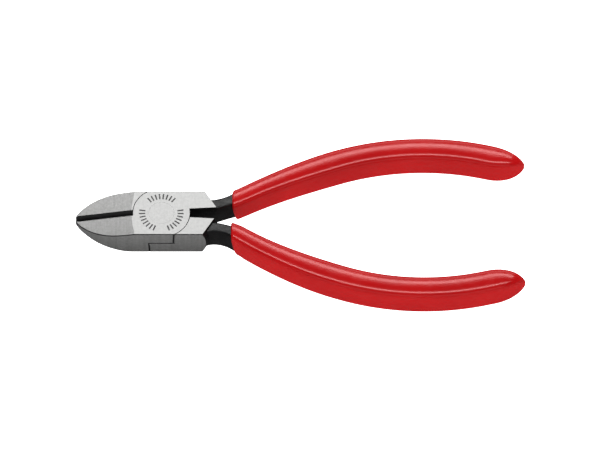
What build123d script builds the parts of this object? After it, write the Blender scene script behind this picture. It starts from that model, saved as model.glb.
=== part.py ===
from build123d import *
import math
import os

# Diagonal cutting pliers, 125 mm, with a lap joint and dipped plastic grips.
#
# The tool lies flat, +Z up, tip towards -X, handles towards +X, jaws closed. The origin is on the joint
# axis, in the plane of the head's ground rear face. While modelling, z = 0 is the middle plane of the head;
# every piece is lifted by half the head's thickness when it is written.
#
# front_half: lower jaw, upper layer of the joint, +Y handle. rear_half: upper jaw, lower layer, -Y handle.
# Lengths are in millimetres, angles in degrees.

# ---- Head: a forging ground flat on both faces and along both sides ----
HEAD_THICKNESS = 9.05
HALF_T = HEAD_THICKNESS / 2
HEAD_HALF_WIDTH = 7.15
TIP_X = -23.8
TIP_HALF_WIDTH = 0.85
TIP_REAR_Z = -0.15
HEAD_END_X = 20.0       # the block runs on past the handles' roots before they are cut out of it
SIDE_END_X = -7.5       # the parallel sides end here and the jaws narrow
SLOPE_START_X = -8.3    # the jaws' front slopes down from the ground face here
SLOPE_ANGLE = 12.0
SLOPE_CROWN_RADIUS = 120.0
EDGE_CHAMFER = 0.2

# ---- Lap joint ----
FRONT_DISC = (7.79, 7.86)   # radius at the lap and at the front face
REAR_DISC = (7.75, 7.86)    # radius at the rear face and at the lap
DISC_GAP = 0.2          # from a disc to the shoulder it turns in
LAP_GAP = 0.06          # between the two layers
SEAM_WIDTH = 0.36       # the layers' edges are broken along the head's sides
SEAM_DEPTH = 0.16
RIVET_RADIUS = 2.6
RIVET_HEAD_RADIUS = 3.5
RIVET_HEAD_DEPTH = 0.9
RIVET_CLEARANCE = 0.03  # running fit of the rivet in the front half

# ---- Cutting edges ----
GROOVE_HALF_WIDTH = 0.95
GROOVE_DEPTH = 1.1      # from the jaws' front down to the cutting edges
RELIEF_ANGLE = 7.0      # of the jaws' inner faces below the edges, from the vertical
EDGE_GAP = 0.02         # each cutting edge's distance from the plane where they meet

# ---- Handle roots ----
ROOT_INNER_LINE = ((5.0, 1.28), (8.5, 1.48))   # a root's side that faces the other handle
ROOT_BOW = 0.9          # bulge of the slanted end at mid thickness

# ---- Handles, each along four tangent arcs in plan: (length, turn) ----
# flare: extra width on the outer side where the tang leaves the head, and the length over which it fades
# grip_front_x: the dipping line, square to the tool
UPPER = {
    "root_inner_x": 15.2, "root_outer_x": 12.0, "start": (13.6, 2.83), "heading": 16.7,
    "arcs": ((10.8, 11.3), (26.85, -9.2), (43.5, -32.8), (10.1, 15.6)), "flare": (0.85, 1.8),
    "grip_front_x": 19.65,
}
LOWER = {
    "root_inner_x": 14.6, "root_outer_x": 11.3, "start": (13.6, 3.83), "heading": 4.25,
    "arcs": ((9.55, 29.0), (31.4, -15.3), (39.6, -31.6), (11.35, 10.1)), "flare": (0.22, 0.62),
    "grip_front_x": 19.3,
}
TANG_HALF_WIDTH = (1.45, 2.5)       # at the head, and inside the grip
TANG_WIDENS = (4.0, 14.0)           # path lengths between which it widens
TANG_BURIED = 3.0                   # the tang starts this far inside the head
TANG_OUTER_LIMIT = 6.3              # the flare stays this close to the middle line
TANG_HALF_THICKNESS = 3.8
TANG_EDGE_RADIUS = 0.55
TANG_SHORT_OF_GRIP = 8.0
TANG_STATIONS = 16
TANG_CROWDING = 1.7                 # above 1, the stations stand closer together near the head

# ---- Grips ----
GRIP_HALF_WIDTH = (2.72, 3.51)      # at the dipping line, and in the middle
GRIP_HALF_THICKNESS = (4.5, 4.8)
GRIP_WIDENS_OVER = 31.0             # it widens over this length behind the lip
GRIP_CROWN = 2.2                    # section exponents: front and rear crowned, sides nearly flat
GRIP_FLATNESS = 8.0
GRIP_LIP_RADIUS = 0.7
GRIP_TAPER = 10.0                   # length of the rounded rear end
GRIP_END_WIDTH = (2.0, 0.8)         # powers a, b in (1 - share ** a) ** b, by which the end narrows
GRIP_END_THICKNESS = (3.0, 0.55)
GRIP_TURNS = 9.0                    # the sections turn square to the spine over this length
LIP_STATIONS = 4
GRIP_STATIONS = 14
GRIP_END_SHARES = (0, 0.25, 0.45, 0.62, 0.76, 0.87, 0.94, 0.985)   # of the rounded end's length
SECTION_POINTS = 36

# ---- Ring of plain strokes stamped round the joint ----
RING_RADIUS = 5.35
STROKE_LENGTH = 1.7
STROKE_WIDTH = 0.42
STROKE_DEPTH = 0.12
STROKE_GROUPS = 3
STROKES_PER_GROUP = 8
STROKE_PITCH = 11.0

FAR = 60.0


def smooth(value, low, high):
    """0 below low, 1 above high, an S-curve between."""
    t = min(max((value - low) / (high - low), 0.0), 1.0)
    return t * t * (3 - 2 * t)


def blend(pair, t):
    """Value a share t of the way from the pair's first to its second."""
    return pair[0] + (pair[1] - pair[0]) * t


def slab(face, low, high):
    """A plan shape extruded between two heights."""
    return extrude(Pos(0, 0, low) * face, high - low)


def polygon(*points):
    """A plan face through points given in order."""
    return make_face(Polyline(*points, close=True))


# ---------------------------------------------------------------- head

def head_plan():
    """Plan of the closed head: rounded jaws and parallel sides, open-ended towards the handles."""
    half = HEAD_HALF_WIDTH
    outline = []
    for side in (1, -1):
        straight = Line((HEAD_END_X, side * half), (SIDE_END_X, side * half))
        nose = Spline(straight @ 1, (-13.4, side * 6.86), (-18.2, side * 5.5), (-21.4, side * 3.53),
                      (TIP_X, side * TIP_HALF_WIDTH), tangents=[(-1, 0), (-0.5, -side)])
        outline += [straight, nose]
    ends = [Line((x, y), (x, -y)) for x, y in ((HEAD_END_X, half), (TIP_X, TIP_HALF_WIDTH))]
    return make_face(outline + ends)


def head_profile():
    """Side view of the head: flat behind the jaws, its rear face curving up to the tip."""
    rear = Spline((-8.0, -HALF_T), (-13.4, -3.5), (-18.2, -2.0), (-21.4, -0.95), (TIP_X, TIP_REAR_Z),
                  tangents=[(-1, 0), (-1, 0.34)])
    rest = Polyline(rear @ 1, (TIP_X, HALF_T), (FAR, HALF_T), (FAR, -HALF_T), rear @ 0)
    return make_face([rear] + rest.edges())


def slope_frame():
    """A plane across the jaws where the front slope starts: normal down the slope, +y up."""
    angle = math.radians(SLOPE_ANGLE)
    down = (-math.cos(angle), 0, -math.sin(angle))
    return Plane(origin=(SLOPE_START_X, 0, HALF_T), x_dir=(0, -1, 0), z_dir=down)


def along_slope(face, before=20.0, after=30.0):
    """Extrude a section, drawn in the slope's frame, along the jaws' front slope."""
    return extrude(slope_frame().offset(-before) * face, before + after)


def head_block():
    """The closed head as one block, before it is split: its long edges are broken by a small chamfer."""
    solid = slab(head_plan(), -HALF_T, HALF_T) & extrude(Plane.XZ * head_profile(), FAR, both=True)
    solid = solid & along_slope(Pos(0, -SLOPE_CROWN_RADIUS) * Circle(SLOPE_CROWN_RADIUS), 40)
    sides = [face for face in solid.faces() if abs(face.normal_at().Y) > abs(face.normal_at().Z)]
    edges = [edge for face in sides for edge in face.edges() if abs(edge.tangent_at(0.5).Z) < 0.9]
    return chamfer(ShapeList(edges), EDGE_CHAMFER)


def jaw(block, side):
    """One jaw through the full thickness, with its cutting edge, as far as the joint axis."""
    solid = block & (Pos(-FAR / 2, side * (FAR / 2 + EDGE_GAP), 0) * Box(FAR, FAR, FAR))
    above = 2 * GROOVE_HALF_WIDTH
    groove = along_slope(polygon((0, -GROOVE_DEPTH), (-above, GROOVE_DEPTH), (above, GROOVE_DEPTH)))
    depth = 2 * HEAD_THICKNESS
    spread = depth * math.tan(math.radians(RELIEF_ANGLE))
    relief = along_slope(polygon((0, -GROOVE_DEPTH), (spread, -depth), (-spread, -depth)))
    return solid - groove - relief


def root_corners(handle):
    """Where a root's slanted end starts at the inner side and ends at the head's side."""
    (x0, y0), (x1, y1) = ROOT_INNER_LINE
    inner_x = handle["root_inner_x"]
    inner = Vector(inner_x, y0 + (y1 - y0) * (inner_x - x0) / (x1 - x0))
    return inner, Vector(handle["root_outer_x"], HEAD_HALF_WIDTH)


def root(block, handle, side):
    """The wide start of a handle, on one side, with its slanted, bowed end."""
    inner, outer = root_corners(handle)
    along = (inner - outer).normalized()
    outward = Vector(-along.Y, along.X)
    plan = polygon((0, ROOT_INNER_LINE[0][1]), ROOT_INNER_LINE[0], inner, inner + outward * ROOT_BOW,
                   outer + outward * 2 * ROOT_BOW, (outer.X, 2 * HEAD_HALF_WIDTH), (0, 2 * HEAD_HALF_WIDTH))
    radius = (HALF_T ** 2 + ROOT_BOW ** 2) / (2 * ROOT_BOW)
    axis = outer - outward * (radius - ROOT_BOW)
    bow = Plane(origin=(axis.X, axis.Y, 0), z_dir=(along.X, along.Y, 0)) * Cylinder(radius, FAR)
    region = slab(plan, -HALF_T, HALF_T) & bow
    return block & (region if side > 0 else mirror(region, Plane.XZ))


# ---------------------------------------------------------------- handles

def spine(handle):
    """Centre line of a handle in plan, on the +Y side."""
    point = Vector(*handle["start"])
    heading = handle["heading"]
    edges = []
    for length, turn in handle["arcs"]:
        radius = length / math.radians(abs(turn))
        tangent = (math.cos(math.radians(heading)), math.sin(math.radians(heading)))
        arc = JernArc(point, tangent, radius, turn)
        edges += arc.edges()
        point = arc @ 1
        heading += turn
    return Wire(edges)


def station(path, distance):
    """Position, tangent and left-hand normal a given path length along a spine."""
    share = distance / path.length
    tangent = path.tangent_at(share)
    return path.position_at(share), tangent, Vector(-tangent.Y, tangent.X)


def tang(handle):
    """The bare steel handle: a bar of even thickness that follows the spine and widens inside the grip."""
    path = spine(handle)
    end = path.length - TANG_SHORT_OF_GRIP
    start_point, start_tangent, _ = station(path, 0)
    flare, fade = handle["flare"]
    inner, outer = [], []
    for i in range(TANG_STATIONS + 1):
        distance = blend((-TANG_BURIED, end), (i / TANG_STATIONS) ** TANG_CROWDING)
        point, _, normal = station(path, max(distance, 0))
        if distance < 0:
            point = start_point + start_tangent * distance
        half = blend(TANG_HALF_WIDTH, smooth(distance, *TANG_WIDENS))
        wide = half + flare * math.exp(-distance / fade)
        if distance < TANG_WIDENS[0]:
            wide = min(wide, (TANG_OUTER_LIMIT - point.Y) / normal.Y)
        inner.append(point - normal * half)
        outer.append(point + normal * wide)
    sides = [Spline(*inner), Spline(*outer)]
    ends = [Line(inner[0], outer[0]), Line(inner[-1], outer[-1])]
    bar = slab(make_face(sides + ends), -TANG_HALF_THICKNESS, TANG_HALF_THICKNESS)
    bar = fillet(bar.edges().filter_by(GeomType.BSPLINE), TANG_EDGE_RADIUS)
    corner, _ = root_corners(handle)
    keep = Pos(corner.X + FAR, 0, 0) * Box(2 * FAR, 2 * FAR, HEAD_THICKNESS)
    keep += Pos(corner.X, corner.Y + FAR, 0) * Box(2 * FAR, 2 * FAR, HEAD_THICKNESS)
    return bar & keep


def distance_at_x(path, x):
    """Path length at which a spine reaches a given x."""
    low, high = 0.0, path.length
    for _ in range(30):
        middle = (low + high) / 2
        if path.position_at(middle / path.length).X < x:
            low = middle
        else:
            high = middle
    return low


def unit_section():
    """Outline of a grip's section scaled to half sizes of 1: crowned front and rear, nearly flat sides."""
    outline = []
    for i in range(SECTION_POINTS):
        angle = math.tau * (i + 0.5) / SECTION_POINTS
        c, s = abs(math.cos(angle)), abs(math.sin(angle))
        low, high = 0.0, 2.0
        for _ in range(40):
            middle = (low + high) / 2
            inside = (middle * c) ** GRIP_CROWN + (middle * s) ** GRIP_FLATNESS < 1
            low, high = (middle, high) if inside else (low, middle)
        outline.append((low * math.cos(angle), low * math.sin(angle)))
    return outline


def section(path, distance, half_width, half_thickness, squared):
    """A section across a spine. squared turns it from square to the spine (0) to square to the tool (1)."""
    point, tangent, normal = station(path, distance)
    across = (normal * (1 - squared) + Vector(0, 1 / tangent.X) * squared) * half_width
    up = Vector(0, 0, half_thickness)
    points = [point + across * u + up * v for u, v in unit_section()]
    return Wire(Edge.make_spline(points, periodic=True))


def narrowed(share, powers):
    """How much of its size a grip keeps, a share of the way along its rounded end."""
    return (1 - share ** powers[0]) ** powers[1]


def grip(handle, steel):
    """Plastic dipped over a handle: a rounded lip at the dipping line, closed and rounded at the rear."""
    path = spine(handle)
    front = distance_at_x(path, handle["grip_front_x"])
    lip_end = front + GRIP_LIP_RADIUS
    taper_start = path.length - GRIP_TAPER
    lip = []
    for i in range(LIP_STATIONS + 1):
        angle = math.pi / 2 * i / LIP_STATIONS
        inset = GRIP_LIP_RADIUS * (1 - math.sin(angle))
        distance = lip_end - GRIP_LIP_RADIUS * math.cos(angle)
        lip.append(section(path, distance, GRIP_HALF_WIDTH[0] - inset, GRIP_HALF_THICKNESS[0] - inset, 1))
    sleeve = []
    for i in range(GRIP_STATIONS + 1):
        distance = blend((lip_end, taper_start), i / GRIP_STATIONS)
        widened = smooth(distance, lip_end, lip_end + GRIP_WIDENS_OVER)
        squared = 1 - smooth(distance, lip_end, lip_end + GRIP_TURNS)
        sleeve.append(section(path, distance, blend(GRIP_HALF_WIDTH, widened),
                              blend(GRIP_HALF_THICKNESS, widened), squared))
    end = []
    for share in GRIP_END_SHARES:
        end.append(section(path, taper_start + GRIP_TAPER * share,
                           GRIP_HALF_WIDTH[1] * narrowed(share, GRIP_END_WIDTH),
                           GRIP_HALF_THICKNESS[1] * narrowed(share, GRIP_END_THICKNESS), 0))
    body = Solid.make_loft(lip, True) + Solid.make_loft(sleeve) + Solid.make_loft(end)
    return body - steel


# ---------------------------------------------------------------- joint

def disc(radius, low, high):
    """A disc round the joint axis. radius is one value, or the values at the low and high ends."""
    low_radius, high_radius = radius if isinstance(radius, tuple) else (radius, radius)
    if low_radius == high_radius:
        solid = Cylinder(low_radius, high - low)
    else:
        solid = Cone(low_radius, high_radius, high - low)
    return Pos(0, 0, (low + high) / 2) * solid


def layer(side):
    """The disc of the front (+1) or rear (-1) half."""
    low, high = sorted((side * LAP_GAP / 2, side * HALF_T))
    return disc(FRONT_DISC if side > 0 else REAR_DISC, low, high)


def room(side):
    """The space that the front (+1) or rear (-1) disc needs in the other half."""
    low, high = sorted((-side * LAP_GAP / 2, side * HALF_T))
    sizes = FRONT_DISC if side > 0 else REAR_DISC
    return disc(tuple(size + DISC_GAP for size in sizes), low, high)


def seams():
    """Shallow notches in the head's two sides, along the edge of the lap."""
    length = 2 * math.sqrt((REAR_DISC[1] + DISC_GAP) ** 2 - HEAD_HALF_WIDTH ** 2)
    notch = Box(length, 2 * SEAM_DEPTH, SEAM_WIDTH)
    return [Pos(0, side * HEAD_HALF_WIDTH, 0) * notch for side in (1, -1)]


def rivet(clearance=0.0):
    """The joint's rivet, or the hole it needs with some clearance: a shank with a countersunk end each way."""
    depth = RIVET_HEAD_DEPTH + clearance
    end = Cone(RIVET_RADIUS + clearance, RIVET_HEAD_RADIUS + clearance, depth)
    end = Pos(0, 0, HALF_T - depth / 2) * end
    return disc(RIVET_RADIUS + clearance, -HALF_T, HALF_T) + end + mirror(end, Plane.XY)


def strokes():
    """The ring of plain strokes, as cutters for the front face."""
    cutters = []
    span = 360.0 / STROKE_GROUPS
    for group in range(STROKE_GROUPS):
        for i in range(STROKES_PER_GROUP):
            angle = 90 + group * span + (i - (STROKES_PER_GROUP - 1) / 2) * STROKE_PITCH
            stroke = Pos(RING_RADIUS, 0, HALF_T) * Box(STROKE_LENGTH, STROKE_WIDTH, 2 * STROKE_DEPTH)
            cutters.append(Rot(0, 0, angle) * stroke)
    return cutters


def half(block, handle, side):
    """One forging. side is +1 for the front half (+Y handle, upper layer), -1 for the rear half."""
    bar = tang(handle)
    if side < 0:
        bar = mirror(bar, Plane.XZ)
    blank = jaw(block, -side) + root(block, handle, side) - room(-side)
    own = block & layer(side)
    solid = blank + own
    for notch in seams():
        solid = solid - notch
    return solid + bar, bar


def write(name, shape):
    """Lift one piece to its place and write it under its node name."""
    solid = Pos(0, 0, HALF_T) * shape
    solid.label = name
    export_step(solid, "parts/" + name + ".step")


os.makedirs("parts", exist_ok=True)
head = head_block()
front_half, upper_tang = half(head, UPPER, 1)
rear_half, lower_tang = half(head, LOWER, -1)
front_half = front_half - rivet(RIVET_CLEARANCE)
rear_half = rear_half - rivet()
for cutter in strokes():
    front_half = front_half - cutter
write("front_half", front_half)
write("rear_half", rear_half)
write("joint_rivet", rivet())
write("upper_grip", grip(UPPER, upper_tang))
write("lower_grip", mirror(grip(LOWER, mirror(lower_tang, Plane.XZ)), Plane.XZ))
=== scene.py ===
import math

import bpy
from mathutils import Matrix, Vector

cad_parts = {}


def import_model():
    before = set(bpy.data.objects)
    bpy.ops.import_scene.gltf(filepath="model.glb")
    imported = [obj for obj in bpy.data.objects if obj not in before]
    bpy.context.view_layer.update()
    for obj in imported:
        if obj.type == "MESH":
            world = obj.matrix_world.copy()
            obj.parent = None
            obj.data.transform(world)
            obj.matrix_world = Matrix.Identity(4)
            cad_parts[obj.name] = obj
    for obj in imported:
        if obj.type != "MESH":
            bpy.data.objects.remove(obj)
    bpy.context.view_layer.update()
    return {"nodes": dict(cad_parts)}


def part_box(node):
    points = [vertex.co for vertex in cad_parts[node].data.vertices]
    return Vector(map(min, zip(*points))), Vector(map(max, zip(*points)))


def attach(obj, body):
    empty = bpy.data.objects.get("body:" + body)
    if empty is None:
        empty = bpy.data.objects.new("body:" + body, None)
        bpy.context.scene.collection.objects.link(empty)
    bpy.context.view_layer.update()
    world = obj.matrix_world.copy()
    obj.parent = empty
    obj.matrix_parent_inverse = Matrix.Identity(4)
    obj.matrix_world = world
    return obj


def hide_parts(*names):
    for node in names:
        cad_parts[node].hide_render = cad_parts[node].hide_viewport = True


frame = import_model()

# Looks of the diagonal cutting pliers. Metres, in the CAD frame: the joint axis is Z through the origin,
# the head's rear face is at z = 0, the tip points to -X and the handles to +X.

MM = 0.001

# ---- Head, read from the frame ----
HEAD_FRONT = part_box("front_half")[1].z
HEAD_MIDDLE = HEAD_FRONT / 2
HEAD_HALF_WIDTH = -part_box("front_half")[0].y

# ---- Grips: the same arcs and sizes as the CAD, in mm and degrees ----
UPPER_SPINE = {
    "start": (13.6, 2.83), "heading": 16.7,
    "arcs": ((10.8, 11.3), (26.85, -9.2), (43.5, -32.8), (10.1, 15.6)), "grip_front_x": 19.65,
}
LOWER_SPINE = {
    "start": (13.6, 3.83), "heading": 4.25,
    "arcs": ((9.55, 29.0), (31.4, -15.3), (39.6, -31.6), (11.35, 10.1)), "grip_front_x": 19.3,
}
GRIP_HALF_WIDTH = (2.72, 3.51)
GRIP_HALF_THICKNESS = (4.5, 4.8)
GRIP_WIDENS_OVER = 31.0
GRIP_TURNS = 9.0
GRIP_SECTION = (2.2, 8.0)   # superellipse exponents across and up: crowned front, nearly flat sides
GRIP_TAPER = 10.0
GRIP_END_WIDTH = (2.0, 0.8) # powers a, b in (1 - share ** a) ** b, by which the end narrows
GRIP_END_THICKNESS = (3.0, 0.55)
GRIP_LAST_SHARE = 0.985     # share of the rounded end's length at which it is closed with a flat cap
GRIP_LIP = 0.7
LIP_LEAN = 1.3              # the dipping line falls back this far towards the rear face
TANG_HALF_WIDTH = (1.45, 2.5)
TANG_WIDENS = (4.0, 14.0)
TANG_HALF_THICKNESS = 3.8
TANG_SHORT_OF_GRIP = 8.0
SOCKET_SECTION = (9.0, 9.0)
SOCKET_GAP = 0.02
RING_POINTS = 112
SLEEVE_RINGS = 170
TAPER_RINGS = 40
LIP_RINGS = 10
SOCKET_RINGS = 60
BISECTIONS = 40             # halvings when a value is searched for

# ---- Where the halves' finishes meet, from the joint axis and the middle line ----
BLACK_FROM_X = 16 * MM      # handles: all black behind this
JAWS_BEFORE_X = -6 * MM     # jaws: ahead of this
GROOVE_HALF_WIDTH = 0.7 * MM
INNER_HALF_WIDTH = 1.7 * MM  # surfaces nearer the middle line belong to the groove and the gap
RING_LIMIT = 7 * MM         # the stamped strokes lie within this radius
STAMP_DEPTH = 0.2 * MM
EDGE_BAND = 0.3 * MM        # broken edges lie this near the head's side; they are painted near-black, a painted dark reflection
ON_FACE = 0.02 * MM         # how near a ground surface a face's centre has to be
LEVEL = 0.9                 # height share of a normal above which a face counts as level
UPRIGHT = 0.4               # and below which it counts as upright
SIDEWAYS = 0.6              # sideways share of a normal above which a face counts as facing sideways

# ---- View and studio ----
VIEW_TILT = math.radians(32.4)      # the camera leans this far from straight above, towards -Y
VIEW_DISTANCE = 4.0
VIEW_LENS = 864.0
SENSOR_WIDTH = 36.0
VIEW_CENTRE = Vector((38.47, -1.05, 4.4)) * MM
FLOOR_HALF_SIZE = 3.0
FLOOR_GLOW = 1.8
LIGHT_DISTANCE = 0.8
LIGHT_LENGTH = 1.2                  # along the tool
ROOM_BRIGHTNESS = 0.10
LIGHTS = (                          # name, angle from the zenith towards +Y, width, radiance
    ("key", 39, 0.15, 8.6),
    ("edge", -7, 0.13, 11.5),
    ("back", 66, 0.3, 1.3),
    ("front", -66, 0.5, 0.7),
)


def smooth(value, low, high):
    """0 below low, 1 above high, an S-curve between."""
    t = min(max((value - low) / (high - low), 0.0), 1.0)
    return t * t * (3 - 2 * t)


def mix(pair, t):
    """Value a share t of the way from the pair's first to its second."""
    return pair[0] + (pair[1] - pair[0]) * t


# ---------------------------------------------------------------- grips

def spine_point(spine, distance):
    """Position and heading (radians) at a path length along a handle's centre line."""
    x, y = spine["start"]
    heading = math.radians(spine["heading"])
    left = distance
    for length, turn in spine["arcs"]:
        last = (length, turn) == spine["arcs"][-1]
        step = left if last else min(left, length)
        curvature = math.radians(turn) / length
        end = heading + curvature * step
        x += (math.sin(end) - math.sin(heading)) / curvature
        y += (math.cos(heading) - math.cos(end)) / curvature
        heading = end
        left -= step
        if left <= 0:
            break
    return x, y, heading


def spine_length(spine):
    """Whole path length of a handle's centre line."""
    return sum(length for length, _ in spine["arcs"])


def distance_at_x(spine, x):
    """Path length at which a centre line reaches x."""
    low, high = 0.0, spine_length(spine)
    for _ in range(BISECTIONS):
        middle = (low + high) / 2
        if spine_point(spine, middle)[0] < x:
            low = middle
        else:
            high = middle
    return low


def unit_section(powers):
    """Outline of a superellipse scaled to half sizes of 1."""
    outline = []
    for i in range(RING_POINTS):
        angle = math.tau * (i + 0.5) / RING_POINTS
        c, s = abs(math.cos(angle)), abs(math.sin(angle))
        low, high = 0.0, 2.0
        for _ in range(BISECTIONS):
            middle = (low + high) / 2
            inside = (middle * c) ** powers[0] + (middle * s) ** powers[1] < 1
            low, high = (middle, high) if inside else (low, middle)
        outline.append((low * math.cos(angle), low * math.sin(angle)))
    return outline


def ring(spine, distance, half_width, half_thickness, squared, outline, side, lean=0.0):
    """One ring across a centre line, in metres. lean moves its rear edge back along the tool."""
    x, y, heading = spine_point(spine, distance)
    across_x = -math.sin(heading) * (1 - squared)
    across_y = math.cos(heading) * (1 - squared) + squared / math.cos(heading)
    points = []
    for u, v in outline:
        back = lean * ((1 - v) / 2) ** 2
        px = x + across_x * u * half_width + back
        py = y + across_y * u * half_width + back * math.tan(heading)
        points.append(Vector((px * MM, side * py * MM, v * half_thickness * MM + HEAD_MIDDLE)))
    return points


def narrowed(share, powers):
    """How much of its size a grip keeps, a share of the way along its rounded end."""
    return (1 - share ** powers[0]) ** powers[1]


def skin_rings(spine, side):
    """Rings of a grip's outside, from its lip to its rear tip."""
    outline = unit_section(GRIP_SECTION)
    lip_end = distance_at_x(spine, spine["grip_front_x"]) + GRIP_LIP
    taper_start = spine_length(spine) - GRIP_TAPER
    rings = []
    for i in range(LIP_RINGS):
        angle = math.pi / 2 * i / LIP_RINGS
        inset = GRIP_LIP * (1 - math.sin(angle))
        rings.append(ring(spine, lip_end - GRIP_LIP * math.cos(angle), GRIP_HALF_WIDTH[0] - inset,
                          GRIP_HALF_THICKNESS[0] - inset, 1, outline, side, LIP_LEAN))
    for i in range(SLEEVE_RINGS):
        distance = mix((lip_end, taper_start), i / SLEEVE_RINGS)
        widened = smooth(distance, lip_end, lip_end + GRIP_WIDENS_OVER)
        squared = 1 - smooth(distance, lip_end, lip_end + GRIP_TURNS)
        rings.append(ring(spine, distance, mix(GRIP_HALF_WIDTH, widened), mix(GRIP_HALF_THICKNESS, widened),
                          squared, outline, side, LIP_LEAN * squared))
    for i in range(TAPER_RINGS):
        share = GRIP_LAST_SHARE * math.sin(math.pi / 2 * i / (TAPER_RINGS - 1))
        rings.append(ring(spine, taper_start + GRIP_TAPER * share,
                          GRIP_HALF_WIDTH[1] * narrowed(share, GRIP_END_WIDTH),
                          GRIP_HALF_THICKNESS[1] * narrowed(share, GRIP_END_THICKNESS), 0, outline, side))
    return rings


def socket_rings(spine, side):
    """Rings of the hollow that the steel fills, from its inner end out to the lip."""
    outline = unit_section(SOCKET_SECTION)
    front = distance_at_x(spine, spine["grip_front_x"])
    end = spine_length(spine) - TANG_SHORT_OF_GRIP
    rings = []
    for i in range(SOCKET_RINGS + 1):
        distance = mix((end, front), i / SOCKET_RINGS)
        half = mix(TANG_HALF_WIDTH, smooth(distance, *TANG_WIDENS)) + SOCKET_GAP
        squared = 1 - smooth(distance, front, front + GRIP_TURNS)
        rings.append(ring(spine, distance, half, TANG_HALF_THICKNESS + SOCKET_GAP, squared, outline, side,
                          LIP_LEAN * squared))
    return rings


def grip(name, node, spine, side, body, material):
    """A dipped grip: one closed skin, turned in at the lip to the hollow round the steel."""
    rings = socket_rings(spine, side) + skin_rings(spine, side)
    vertices = [point for one in rings for point in one]
    faces = []
    for r in range(len(rings) - 1):
        for i in range(RING_POINTS):
            j = (i + 1) % RING_POINTS
            a, b = r * RING_POINTS + i, r * RING_POINTS + j
            faces.append((a, b, b + RING_POINTS, a + RING_POINTS))
    last = (len(rings) - 1) * RING_POINTS
    faces.append(tuple(reversed(range(RING_POINTS))))
    faces.append(tuple(range(last, last + RING_POINTS)))
    if side < 0:    # the mirrored side's faces would point inwards
        faces = [tuple(reversed(face)) for face in faces]
    mesh = bpy.data.meshes.new(name)
    mesh.from_pydata(vertices, [], faces)
    mesh.materials.append(material)
    mesh.polygons.foreach_set("use_smooth", [True] * len(mesh.polygons))
    piece = bpy.data.objects.new(name, mesh)
    bpy.context.scene.collection.objects.link(piece)
    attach(piece, body)
    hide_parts(node)
    return piece


# ---------------------------------------------------------------- materials

class Graph:
    """Short hand for building one material's nodes."""

    def __init__(self, name):
        self.material = bpy.data.materials.new(name)
        self.material.use_nodes = True
        self.tree = self.material.node_tree
        self.shader = self.tree.nodes["Principled BSDF"]

    def add(self, kind, inputs=None, **settings):
        """A node with its settings and inputs; an input may be a value or another node's socket."""
        node = self.tree.nodes.new(kind)
        for key, value in settings.items():
            setattr(node, key, value)
        for key, value in (inputs or {}).items():
            self.put(node, key, value)
        return node

    def put(self, node, key, value):
        """Set a node's input to a value, or link another node's socket to it."""
        if isinstance(value, bpy.types.NodeSocket):
            self.tree.links.new(value, node.inputs[key])
        else:
            node.inputs[key].default_value = value

    def set(self, **inputs):
        """Set the shader's own inputs; underscores in a name stand for spaces."""
        for key, value in inputs.items():
            self.put(self.shader, key.replace("_", " "), value)

    def noise(self, scale, detail=3.0, roughness=0.5, stretch=(1, 1, 1)):
        """Noise in the piece's own coordinates. scale is in features per metre."""
        place = self.add("ShaderNodeTexCoord")
        mapped = self.add("ShaderNodeMapping", {"Vector": place.outputs["Object"], "Scale": stretch})
        return self.add("ShaderNodeTexNoise", {"Vector": mapped.outputs["Vector"], "Scale": scale,
                                               "Detail": detail, "Roughness": roughness}).outputs["Fac"]

    def span(self, value, low, high, from_low=0.3, from_high=0.7):
        """Map a noise value to a range."""
        return self.add("ShaderNodeMapRange", {"Value": value, "From Min": from_low, "From Max": from_high,
                                               "To Min": low, "To Max": high}).outputs["Result"]

    def tint(self, value, low, high):
        """Two colours mixed by a noise value."""
        stretched = self.span(value, 0.0, 1.0)
        node = self.add("ShaderNodeMix", data_type="RGBA")
        self.put(node, 0, stretched)
        self.put(node, 6, (*low, 1))
        self.put(node, 7, (*high, 1))
        return node.outputs[2]

    def bump(self, value, height, below=None):
        """A bump of a given height in metres, on top of another bump if one is given."""
        inputs = {"Height": value, "Strength": 1.0, "Distance": height}
        if below is not None:
            inputs["Normal"] = below
        return self.add("ShaderNodeBump", inputs).outputs["Normal"]


def ground_steel(name, dark, light, roughness, metallic=1.0, painted_shade_at_rear=1.0):
    """Steel ground across the tool: fine lines square to its length over a faint mottle.

    The last argument is the share of the colour left at the head's rear face, a painted shade that darkens
    the steel towards the rear; the colour is full at the front face."""
    g = Graph(name)
    lines = g.noise(1.0, 5.0, 0.65, (1700, 60, 60))
    mottle = g.noise(1500, 4.0, 0.65)
    both = g.add("ShaderNodeMath", {0: lines, 1: mottle}, operation="ADD").outputs[0]
    half = g.add("ShaderNodeMath", {0: both, 1: 0.5}, operation="MULTIPLY").outputs[0]
    height = g.add("ShaderNodeSeparateXYZ", {0: g.add("ShaderNodeTexCoord").outputs["Object"]}).outputs["Z"]
    # Painted shade: the colour darkens from the front face towards the rear face.
    painted_rear_shade = g.span(height, painted_shade_at_rear, 1.0, 0.0, HEAD_FRONT)
    colour = g.add("ShaderNodeVectorMath", {0: g.tint(half, dark, light), 1: painted_rear_shade}, operation="MULTIPLY")
    g.set(Base_Color=colour.outputs[0], Metallic=metallic, Roughness=g.span(lines, *roughness))
    scratches = g.bump(lines, 0.0000035)
    g.set(Normal=g.bump(mottle, 0.000002, below=scratches))
    return g.material


def black_steel(name, dark, light, roughness):
    """Forged steel with a black finish: a soft forging texture and rubbed, slightly greyer patches. A
    near-black copy also goes on the ground broken edges as a painted dark reflection.
    """
    g = Graph(name)
    forged = g.noise(900, 5.0, 0.6)
    broad = g.noise(160, 2.0, 0.5)
    g.set(Base_Color=g.tint(broad, dark, light), Metallic=0.0, Roughness=g.span(forged, *roughness))
    g.set(Specular_IOR_Level=0.3)
    g.set(Normal=g.bump(forged, 0.00006, below=g.bump(broad, 0.0003)))
    return g.material


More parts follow.
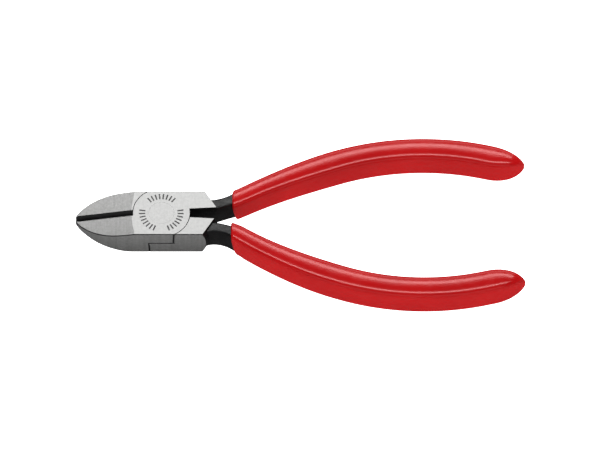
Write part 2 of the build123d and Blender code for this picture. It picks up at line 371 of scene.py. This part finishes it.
def dipped_plastic(name):
    """Glossy red dipped plastic: deep even colour, a faint flow texture and fine handling haze."""
    g = Graph(name)
    flow = g.noise(90, 2.0, 0.5)
    haze = g.noise(700, 4.0, 0.6)
    g.set(Base_Color=g.tint(flow, (0.36, 0.002, 0.003), (0.41, 0.003, 0.004)))
    g.set(Roughness=g.span(haze, 0.16, 0.24), Specular_IOR_Level=0.5, Specular_Tint=(1.0, 0.62, 0.62, 1.0))
    g.set(Normal=g.bump(haze, 0.0000025, below=g.bump(flow, 0.00003)))
    return g.material


# ---------------------------------------------------------------- steel

FACE, SLOPE, SIDE, BLACK, STAMP, PAINTED_DARK_EDGE = range(6)


def steel_zone(centre, normal):
    """Which finish a face of a half has: ground where the outside of the head was ground, else black. The
    ground slopes and sides get darker copies of the ground steel, painted shade, and the broken edges of
    the ground outside are painted near-black, a painted dark reflection.
    """
    x, y, z = centre
    if x > BLACK_FROM_X:
        return BLACK
    on_jaws = x < JAWS_BEFORE_X
    outside = abs(y) > INNER_HALF_WIDTH and normal.y * y > 0
    slanted = UPRIGHT < abs(normal.z) < LEVEL
    # Broken edges of the ground outside: painted near-black, a painted dark reflection on ground steel.
    if outside and slanted and (on_jaws or abs(y) > HEAD_HALF_WIDTH - EDGE_BAND):
        return PAINTED_DARK_EDGE
    if abs(normal.z) > LEVEL:
        if z > HEAD_FRONT - ON_FACE or z < ON_FACE:
            return FACE
        if z > HEAD_FRONT - STAMP_DEPTH and math.hypot(x, y) < RING_LIMIT:
            return STAMP
        if on_jaws and abs(y) > GROOVE_HALF_WIDTH:
            return SLOPE
    if on_jaws and outside:
        return SIDE
    if abs(normal.y) > SIDEWAYS and abs(y) > HEAD_HALF_WIDTH - ON_FACE:
        return SIDE
    return BLACK


def steel_half(name, node, body, materials):
    """A half of the tool: the CAD's own mesh, with each face given its finish; the ground slopes and sides
    carry painted shade and the broken edges a painted dark reflection.
    """
    mesh = frame["nodes"][node].data.copy()
    mesh.name = name
    mesh.materials.clear()
    for material in materials:
        mesh.materials.append(material)
    for face in mesh.polygons:
        face.material_index = steel_zone(face.center, face.normal)
    piece = bpy.data.objects.new(name, mesh)
    bpy.context.scene.collection.objects.link(piece)
    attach(piece, body)
    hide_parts(node)
    return piece


# ---------------------------------------------------------------- studio

def camera():
    """A long lens looking down at the tool, tilted towards its lower handle."""
    data = bpy.data.cameras.new("camera")
    data.lens = VIEW_LENS
    data.sensor_width = SENSOR_WIDTH
    data.clip_end = 20.0
    obj = bpy.data.objects.new("camera", data)
    direction = Vector((0, -math.sin(VIEW_TILT), math.cos(VIEW_TILT)))
    obj.location = VIEW_CENTRE + direction * VIEW_DISTANCE
    obj.rotation_euler = (VIEW_TILT, 0, 0)
    bpy.context.scene.collection.objects.link(obj)
    bpy.context.scene.camera = obj


def floor():
    """A plain pale floor just under the tool: self-lit, and left out of reflections."""
    lowest = min(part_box(node)[0].z for node in frame["nodes"])
    mesh = bpy.data.meshes.new("floor")
    turns = ((-1, -1), (1, -1), (1, 1), (-1, 1))
    corners = [(x * FLOOR_HALF_SIZE, y * FLOOR_HALF_SIZE, lowest) for x, y in turns]
    mesh.from_pydata(corners, [], [(0, 1, 2, 3)])
    material = bpy.data.materials.new("floor")
    material.use_nodes = True
    shader = material.node_tree.nodes["Principled BSDF"]
    shader.inputs["Base Color"].default_value = (0.6, 0.6, 0.6, 1)
    shader.inputs["Emission Color"].default_value = (1, 1, 1, 1)
    shader.inputs["Emission Strength"].default_value = FLOOR_GLOW
    shader.inputs["Roughness"].default_value = 0.9
    shader.inputs["Specular IOR Level"].default_value = 0.0
    mesh.materials.append(material)
    obj = bpy.data.objects.new("floor", mesh)
    bpy.context.scene.collection.objects.link(obj)
    obj.visible_glossy = False


def softbox(name, angle, width, radiance):
    """A rectangular light above the tool, angle degrees from the zenith towards +Y, facing the view."""
    data = bpy.data.lights.new(name, "AREA")
    data.shape = "RECTANGLE"
    data.size, data.size_y = LIGHT_LENGTH, width
    data.energy = radiance * math.pi * LIGHT_LENGTH * width
    obj = bpy.data.objects.new(name, data)
    lean = math.radians(angle)
    obj.location = VIEW_CENTRE + Vector((0, math.sin(lean), math.cos(lean))) * LIGHT_DISTANCE
    obj.rotation_euler = (-lean, 0, 0)
    bpy.context.scene.collection.objects.link(obj)


def world(brightness):
    """A dim even room."""
    data = bpy.data.worlds.new("room")
    data.use_nodes = True
    background = data.node_tree.nodes["Background"]
    background.inputs["Color"].default_value = (1, 1, 1, 1)
    background.inputs["Strength"].default_value = brightness
    bpy.context.scene.world = data


steels = [
    ground_steel("ground_face", (0.27, 0.27, 0.267), (0.36, 0.36, 0.355), (0.40, 0.50)),
    # The slope and side copies are darker than the face copy of the same ground steel: painted shade for
    # how the light falls on them. The side copy is also darkened towards the rear face, painted shade too.
    ground_steel("ground_slope_painted_shade", (0.155, 0.155, 0.153), (0.28, 0.28, 0.276), (0.38, 0.52)),
    ground_steel("ground_side_painted_shade", (0.14, 0.14, 0.138), (0.24, 0.24, 0.236), (0.40, 0.5), 0.5, 0.6),
    black_steel("black_forging", (0.001, 0.001, 0.0011), (0.006, 0.006, 0.0063), (0.28, 0.44)),
    black_steel("stamped_mark", (0.05, 0.05, 0.05), (0.10, 0.10, 0.10), (0.5, 0.6)),
    # The broken edges are ground steel painted near-black: a painted dark reflection.
    black_steel("ground_edge_painted_dark", (0.006, 0.006, 0.006), (0.015, 0.015, 0.015), (0.4, 0.5)),
]
red = dipped_plastic("grip_plastic")
steel_half("front_half_steel", "front_half", "front", steels)
steel_half("rear_half_steel", "rear_half", "rear", steels)
frame["nodes"]["joint_rivet"].material_slots[0].material = steels[FACE]
grip("upper_grip_plastic", "upper_grip", UPPER_SPINE, 1, "front", red)
grip("lower_grip_plastic", "lower_grip", LOWER_SPINE, -1, "rear", red)

camera()
floor()
world(ROOM_BRIGHTNESS)
for light in LIGHTS:
    softbox(*light)
bpy.context.scene.view_settings.view_transform = "Standard"
